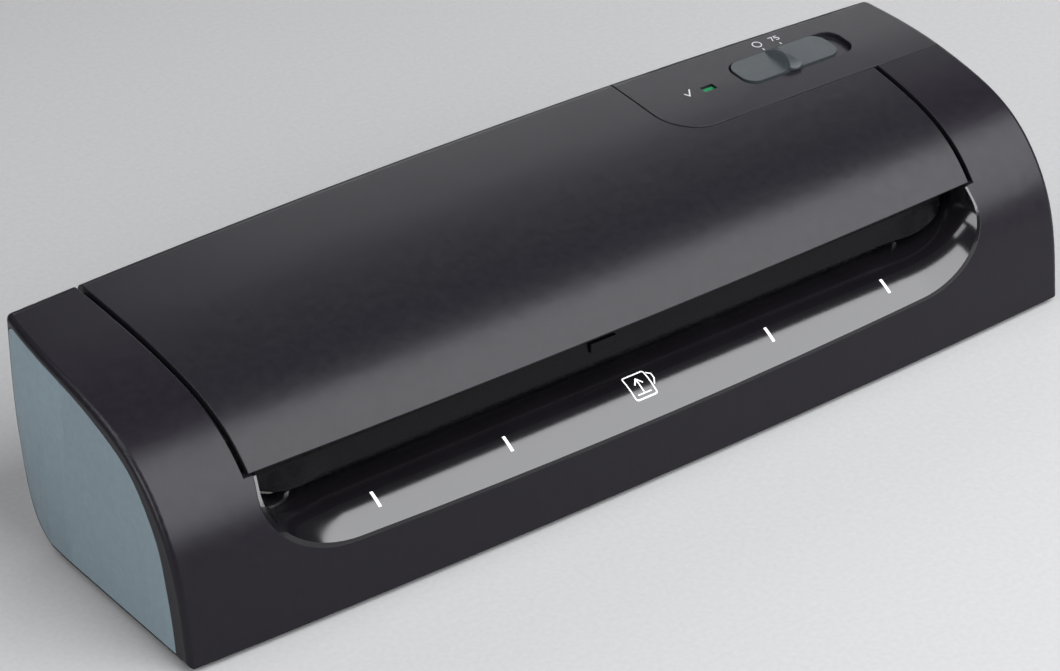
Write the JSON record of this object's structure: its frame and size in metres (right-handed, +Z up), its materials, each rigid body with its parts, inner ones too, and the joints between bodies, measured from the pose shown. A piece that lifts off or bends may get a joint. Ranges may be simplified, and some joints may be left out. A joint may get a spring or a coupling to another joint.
{
  "type": "pouch laminator",
  "caption": "Desktop pouch laminator with a curved black casing, a wide front entry mouth, heated plates, a geared roller pair and a sliding power switch.",
  "frame": {"origin": "under the middle of the machine, on the surface that its feet stand on", "axes": "+X to the user's right along the machine, +Y from the pouch entry towards the exit, +Z up"},
  "size_m": [0.37, 0.1144, 0.082],
  "materials": {
    "casing_black": "satin black moulded plastic",
    "cover_black": "satin black moulded plastic",
    "base_black": "matt black moulded plastic",
    "panel_grey": "satin blue-grey plastic",
    "tray_gloss": "high-gloss black plastic",
    "lip_satin": "satin black plastic",
    "knob_grey": "satin grey plastic",
    "switch_black": "moulded black",
    "lamp_green": "clear green",
    "board_green": "printed board",
    "component_blue": "sleeved",
    "connector_white": "natural nylon",
    "frame_steel": "zinc plated sheet",
    "shaft_steel": "turned steel",
    "clip_steel": "blackened spring steel",
    "spring_steel": "spring wire",
    "screw_zinc": "zinc plated",
    "bush_brass": "sintered bronze",
    "block_black": "filled nylon",
    "gear_white": "natural acetal",
    "silicone": "ground silicone rubber",
    "motor_zinc": "zinc plated can",
    "heater_aluminium": "extruded",
    "heater_film": "polyimide film",
    "insulation_felt": "ceramic felt",
    "thermostat_ceramic": "glazed ceramic",
    "feet_rubber": "matt rubber",
    "lead_red": "pvc insulation"
  },
  "bodies": {
    "housing": {"main_casing": "casing_black", "top_cover": "cover_black", "rear_panel": "casing_black", "control_panel": "cover_black", "base_plate": "base_black", "end_panel_left": "panel_grey", "end_panel_right": "panel_grey", "entry_tray": "tray_gloss", "entry_lip": "lip_satin", "switch_body": "switch_black", "light_pipe": "lamp_green", "status_led": "lamp_green", "control_board": "board_green", "board_capacitors": "component_blue", "board_connectors": "connector_white", "side_frame_left": "frame_steel", "side_frame_right": "frame_steel", "tie_rods": "frame_steel", "motor_bracket": "frame_steel", "motor_standoffs": "bush_brass", "lower_bushes": "bush_brass", "pressure_springs": "spring_steel", "drive_motor": "motor_zinc", "idler_pin": "shaft_steel", "idler_clip": "clip_steel", "motor_screws": "screw_zinc", "case_screws": "screw_zinc", "frame_screws": "screw_zinc", "board_screws": "screw_zinc", "lower_heater_plate": "heater_aluminium", "upper_heater_plate": "heater_aluminium", "lower_heater_element": "heater_film", "upper_heater_element": "heater_film", "lower_heater_insulation": "insulation_felt", "upper_heater_insulation": "insulation_felt", "lower_heater_channel": "frame_steel", "upper_heater_channel": "frame_steel", "lower_exit_guide": "base_black", "upper_exit_guide": "base_black", "thermostat": "thermostat_ceramic", "thermal_fuse": "thermostat_ceramic", "cord_gland": "feet_rubber", "terminal_block": "connector_white", "rubber_feet": "feet_rubber", "motor_leads": "lead_red"},
    "lower_roller": {"lower_roller_shaft": "shaft_steel", "lower_roller_sleeve": "silicone", "lower_roller_gear": "gear_white", "lower_roller_clips": "clip_steel"},
    "upper_carriage": {"upper_bearing_blocks": "block_black"},
    "upper_roller": {"upper_roller_shaft": "shaft_steel", "upper_roller_sleeve": "silicone", "upper_roller_gear": "gear_white", "upper_roller_clips": "clip_steel"},
    "idler": {"idler_gear": "gear_white"},
    "pinion": {"motor_shaft": "shaft_steel", "motor_pinion": "gear_white"},
    "slider": {"slider_knob": "knob_grey", "switch_lever": "switch_black"}
  },
  "joints": [
    {"name": "slider_travel", "type": "slide", "parent": "housing", "child": "slider", "axis": [1, 0, 0], "range_m": [0, 0.0064]},
    {"name": "lower_roller_spin", "type": "hinge", "parent": "housing", "child": "lower_roller", "pos_m": [0, 0.014, 0.0246], "axis": [1, 0, 0], "continuous": true},
    {"name": "upper_lift", "type": "slide", "parent": "housing", "child": "upper_carriage", "axis": [0, 0, 1], "range_m": [0, 0.0008], "stiffness_N_per_m": 3000, "springref_m": -0.004, "deforming": ["pressure_springs"]},
    {"name": "upper_roller_spin", "type": "hinge", "parent": "upper_carriage", "child": "upper_roller", "pos_m": [0, 0.014, 0.0446], "axis": [1, 0, 0], "continuous": true},
    {"name": "idler_spin", "type": "hinge", "parent": "housing", "child": "idler", "pos_m": [0, -0.00291, 0.01844], "axis": [1, 0, 0], "continuous": true},
    {"name": "pinion_spin", "type": "hinge", "parent": "housing", "child": "pinion", "pos_m": [0, -0.01267, 0.03237], "axis": [1, 0, 0], "continuous": true}
  ],
  "couplings": [
    {"joint": "upper_roller_spin", "follows": "lower_roller_spin", "ratio": -1},
    {"joint": "idler_spin", "follows": "lower_roller_spin", "ratio": -1.25},
    {"joint": "pinion_spin", "follows": "lower_roller_spin", "ratio": 1.1111}
  ]
}
